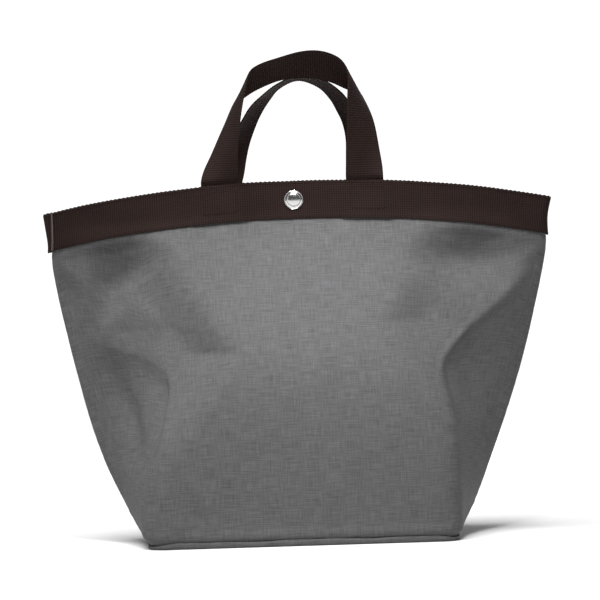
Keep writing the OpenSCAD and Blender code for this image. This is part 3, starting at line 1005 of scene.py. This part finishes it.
def handle(name, side, places):
    """One length of webbing: up from its left foot, round the loop and down into its right foot."""
    places = np.array(places, float)
    near, far = places[:, :2], places[:, 2:4]
    apart = near - far
    depth = np.sqrt(np.maximum(HANDLE_W ** 2 - (apart ** 2).sum(1), 0))
    middle = (near + far) / 2
    loop = smooth_line(np.column_stack([
        middle[:, 0], side * places[:, 4], RIM_HEIGHT + middle[:, 1],
        apart[:, 0], side * depth, apart[:, 1],
    ]))
    z = np.linspace(FOOT_LOW, RIM_HEIGHT, 60)
    lying = np.column_stack([z, foot_y(z), z, np.full((len(z), 1), HANDLE_W), np.zeros((len(z), 2))])
    left = lying * [0, side, 1, 1, 1, 1] + [loop[0, 0], 0, 0, 0, 0, 0]
    right = lying[::-1] * [0, side, 1, -1, 1, 1] + [loop[-1, 0], 0, 0, 0, 0, 0]
    path = np.concatenate([left, loop, right])
    s = length_along(path[:, :3])
    even = np.linspace(0, s[-1], int(round(s[-1] / RIB_PITCH)) + 1)
    path = smoothed(np.column_stack([np.interp(even, s, path[:, k]) for k in range(6)]), SMOOTH_STEPS)
    centre, across = path[:, :3], path[:, 3:]
    across = across / np.linalg.norm(across, axis=1)[:, None]
    run = np.gradient(centre, axis=0)
    run /= np.linalg.norm(run, axis=1)[:, None]
    face = np.cross(run, across) * side
    face /= np.linalg.norm(face, axis=1)[:, None]
    w = width_rows(HANDLE_W)[:, None]
    s, w = np.broadcast_arrays(even[None, :], w)
    free = ramp(30, 60, s) * ramp(30, 60, even[-1] - s)
    half_t = WEBBING_T / 2 * mix(0.35, 1, edge_round(w, HANDLE_W))
    curl = -(1.6 + 0.5 * np.sin(s / 41)) * (w / 19) ** 2 * free
    spot = centre[None] + w[..., None] * across[None] + curl[..., None] * face[None]
    ribs = rib_height(s, w)
    outer = spot + (half_t + ribs)[..., None] * face[None]
    inner = spot - (half_t + ribs * free)[..., None] * face[None]
    return shell(name, outer, inner, np.stack([s, w], -1), WEBBING)


for which, side, places in (("front", -1, FRONT_PLACES), ("back", 1, BACK_PLACES)):
    o = handle("handle_" + which, side, places)
    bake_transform(o)
    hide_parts(which + "_handle", which + "_handle_foot_left", which + "_handle_foot_right")


# -------------------------------- stitches
STITCH_PITCH = 3.4
STITCH_LONG = 2.5
STITCH_R = 0.34


def stitch_mesh(name, places, runs, outs):
    """One rounded stitch at each place, along its run, half sunk in the face whose direction is outs."""
    rings, sides = 5, 6
    a = np.linspace(0, math.pi, rings + 2)[1:-1]
    b = np.linspace(0, 2 * math.pi, sides, endpoint=False)
    template = [(-STITCH_LONG / 2, 0, 0)]
    for angle in a:
        r = STITCH_R * math.sqrt(math.sin(angle))
        template += [(-STITCH_LONG / 2 * math.cos(angle), r * math.cos(k), r * math.sin(k)) for k in b]
    template.append((STITCH_LONG / 2, 0, 0))
    faces = []
    for i in range(sides):
        n = (i + 1) % sides
        faces.append((0, 1 + n, 1 + i))
        for j in range(rings - 1):
            p, q = 1 + j * sides, 1 + (j + 1) * sides
            faces.append((p + i, p + n, q + n, q + i))
        p = 1 + (rings - 1) * sides
        faces.append((p + i, p + n, len(template) - 1))
    template = np.array(template)
    side = np.cross(outs, runs)
    points = (places[:, None] + template[None, :, :1] * runs[:, None] + template[None, :, 1:2] * side[:, None]
              + template[None, :, 2:] * outs[:, None]).reshape(-1, 3)
    count = len(template)
    all_faces = [[v + k * count for v in face] for k in range(len(places)) for face in faces]
    return smooth_mesh(name, points, all_faces, THREAD)


def band_spot(t, w, lift):
    """A place on the band's face, w mm up from its middle."""
    return off_wall(t, rim_z(t) - WEBBING_W / 2 + w, band_in(t) + lift + WEBBING_T + 0.08, BAND_E)


def band_stitches(name, rows, lift=0.0):
    """Rows of stitches on the band, each from one place (t, mm up from the band's middle) to another."""
    places, runs, outs = [], [], []
    for (t0, w0), (t1, w1) in rows:
        share = np.linspace(0, 1, 2001)
        line = band_spot(mix(t0, t1, share), mix(w0, w1, share), lift)
        s = length_along(line)
        count = max(2, int(s[-1] / STITCH_PITCH))
        at = (np.arange(count) + 0.5) * s[-1] / count
        t, w = np.interp(at, s, mix(t0, t1, share)), np.interp(at, s, mix(w0, w1, share))
        step = np.gradient(line, axis=0)
        step /= np.linalg.norm(step, axis=1)[:, None]
        nx, ny = wall_normal(t, rim_z(t) - WEBBING_W / 2 + w, BAND_E)
        places.append(band_spot(t, w, lift))
        runs.append(np.column_stack([np.interp(at, s, step[:, k]) for k in range(3)]))
        outs.append(np.column_stack([nx, ny, np.zeros(len(t))]))
    return stitch_mesh(name, *(np.concatenate(v) for v in (places, runs, outs)))


LOW_ROW = -WEBBING_W / 2 + 2.2
HIGH_ROW = WEBBING_W / 2 - 2.6
FOOT_ROWS = (-9.5, 12)
FOOT_ROW_HALF = FOOT_HALF - 2.4 / MOUTH_HX
FOOT_MIDDLES = {
    "front_left": -FOOT_T,
    "front_right": FOOT_T,
    "back_right": 2 - FOOT_T,
    "back_left": FOOT_T - 2,
}
for quarter_name, (t0, t1) in QUARTERS.items():
    rows = [((t0, w), (t1, w)) for w in (LOW_ROW, HIGH_ROW)]
    a, b = FOOT_MIDDLES[quarter_name] - FOOT_ROW_HALF, FOOT_MIDDLES[quarter_name] + FOOT_ROW_HALF
    rows += [((a, w), (b, w)) for w in FOOT_ROWS] + [((v, FOOT_ROWS[0]), (v, FOOT_ROWS[1])) for v in (a, b)]
    o = band_stitches("stitches_band_" + quarter_name, rows)
    swing(o)

TAB_INSET = 2.6 / MOUTH_HX
tab_start, tab_end = TAB[0] + TAB_INSET, TAB[1] - TAB_INSET
tab_stitches = band_stitches("stitches_tab", [
    ((tab_start, LOW_ROW), (tab_end, LOW_ROW)), ((tab_end, LOW_ROW), (tab_end, HIGH_ROW)),
    ((tab_end, HIGH_ROW), (tab_start, HIGH_ROW)), ((tab_start, HIGH_ROW), (tab_start, LOW_ROW)),
], TAB_LIFT)
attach(tab_stitches, "bag")

# -------------------------------- snap
SNAP_SEGMENTS = 96
DOME_H = 2.2


def lathe(name, profile, y, facing_out, skin):
    """A turned piece about the snap's axis. profile is (radius, height over y), middle to middle."""
    a = np.linspace(0, 2 * math.pi, SNAP_SEGMENTS, endpoint=False)
    rings = []
    for r, h in profile:
        ring = np.column_stack([r * np.cos(a), np.full(len(a), y + facing_out * h), SNAP_Z + r * np.sin(a)])
        rings.append(ring[::-1] if facing_out > 0 else ring)
    return ring_mesh(name, rings, skin, cap_first=True, cap_last=True)


def cap_profile(r, dome):
    """A low dome with a rolled rim and one plain ring pressed into it."""
    sphere = (r * r + dome * dome) / (2 * dome)
    ring = r - 3.2
    points = []
    for share in np.linspace(0.04, 0.93, 40):
        q = r * share
        h = math.sqrt(sphere ** 2 - q ** 2) - sphere + dome
        h -= 0.3 * math.exp(-((q - ring) / 0.42) ** 2)
        points.append((q, h + 0.15))
    for angle in np.linspace(70, -75, 12):
        a = math.radians(angle)
        points.append((r - 0.75 + 0.75 * math.cos(a), 0.55 + 0.6 * math.sin(a)))
    points += [(r - 1.6, 0.05), (r * 0.4, 0.0), (1.5, 0.0)]
    return points


for name, node, facing_out, body in (
    ("snap_cap_dome", "snap_cap", -1, "front_wall"),
    ("snap_back_dome", "snap_back_cap", 1, "back_wall"),
):
    low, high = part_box(node)
    radius = (high.x - low.x) / 2 / MM
    face = (low.y if facing_out < 0 else high.y) / MM
    o = lathe(name, cap_profile(radius, DOME_H), face - facing_out * DOME_H, facing_out, NICKEL)
    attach(o, body)
    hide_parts(node)
for node in ("snap_socket", "snap_stud"):
    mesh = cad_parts[node].data
    mesh.materials.clear()
    mesh.materials.append(NICKEL)

# -------------------------------- floor, light and camera
FLOOR_HALF = 9000
FLOOR_LOW = -0.2
g = Graph("floor_pale")
grain = g.noise(g.node("ShaderNodeTexCoord").outputs["Object"], 40, 2)
pale = g.finish(Base_Color=g.blend(grain, grey(0.77), grey(0.78)), Roughness=1.0, Specular_IOR_Level=0.0)
corners = [(x * FLOOR_HALF, y * FLOOR_HALF, FLOOR_LOW) for x, y in ((-1, -1), (1, -1), (1, 1), (-1, 1))]
floor = smooth_mesh("floor", np.array(corners), [(0, 1, 2, 3)], pale)
floor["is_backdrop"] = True

# A white studio: bright behind the bag and on its left, dim in front and on its right
BRIGHT = 1.1
DIM = 0.04
SCREEN_FROM, SCREEN_FULL = 0.68, 0.95     # how squarely a direction must face the screen to see it
world = bpy.data.worlds.new("studio")
scene.world = world
world.use_nodes = True
nodes, links = world.node_tree.nodes, world.node_tree.links
towards = nodes.new("ShaderNodeSeparateXYZ")
links.new(nodes.new("ShaderNodeTexCoord").outputs["Generated"], towards.inputs[0])
leftwards = nodes.new("ShaderNodeMath")
leftwards.operation = "MULTIPLY"
leftwards.inputs[1].default_value = -1
links.new(towards.outputs[0], leftwards.inputs[0])
most = nodes.new("ShaderNodeMath")
most.operation = "MAXIMUM"
links.new(towards.outputs[1], most.inputs[0])
links.new(leftwards.outputs[0], most.inputs[1])
screen = nodes.new("ShaderNodeMapRange")
screen.interpolation_type = "SMOOTHSTEP"
for key, value in (("From Min", SCREEN_FROM), ("From Max", SCREEN_FULL), ("To Min", DIM), ("To Max", BRIGHT)):
    screen.inputs[key].default_value = value
links.new(most.outputs[0], screen.inputs[0])
nodes["Background"].inputs[0].default_value = (1, 1, 1, 1)
links.new(screen.outputs[0], nodes["Background"].inputs[1])
scene.view_settings.view_transform = "Standard"


def aimed(name, light, place, at=(0, 0, 0)):
    """Put a light at a place, pointing at another."""
    o = placed(name, light)
    o.location = place
    o.rotation_euler = (Vector(place) - Vector(at)).to_track_quat("Z", "Y").to_euler()


def sun(name, place, soft, power):
    """Light from a place towards the bag, as even as a large soft box far away."""
    light = bpy.data.lights.new(name, "SUN")
    light.angle = math.radians(soft)
    light.energy = power
    aimed(name, light, place)


def spot(name, place, at, cone, soft, power):
    """A soft light from near by, which falls off towards the bag's sides."""
    light = bpy.data.lights.new(name, "SPOT")
    light.spot_size = math.radians(cone)
    light.spot_blend = 1.0
    light.shadow_soft_size = soft
    light.energy = power
    aimed(name, light, place, at)


def panel(name, place, at, size, power):
    """A soft box."""
    light = bpy.data.lights.new(name, "AREA")
    light.size = size
    light.energy = power
    aimed(name, light, place, at)


sun("key", (-0.14, -0.4, 1.0), 35, 4.05)
panel("behind", (1.0, 2.0, 0.75), (0, 0, 0.2), 1.2, 20)
spot("fill", (0.1, -0.85, 1.25), (0.01, -0.05, 0.255), 23, 0.1, 66)

CAMERA_AT = (0.0032, -3.0, 0.2378)
CAMERA_ROLL = -1.8
CAMERA_LENS = 180
camera_data = bpy.data.cameras.new("camera")
camera_data.lens = CAMERA_LENS
camera_data.sensor_width = 36
camera_data.clip_end = 100
camera = placed("camera", camera_data)
level = Matrix.Rotation(math.radians(90), 4, "X")
roll = Matrix.Rotation(math.radians(CAMERA_ROLL), 4, "Z")
camera.matrix_world = Matrix.Translation(CAMERA_AT) @ level @ roll
scene.camera = camera

low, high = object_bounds()
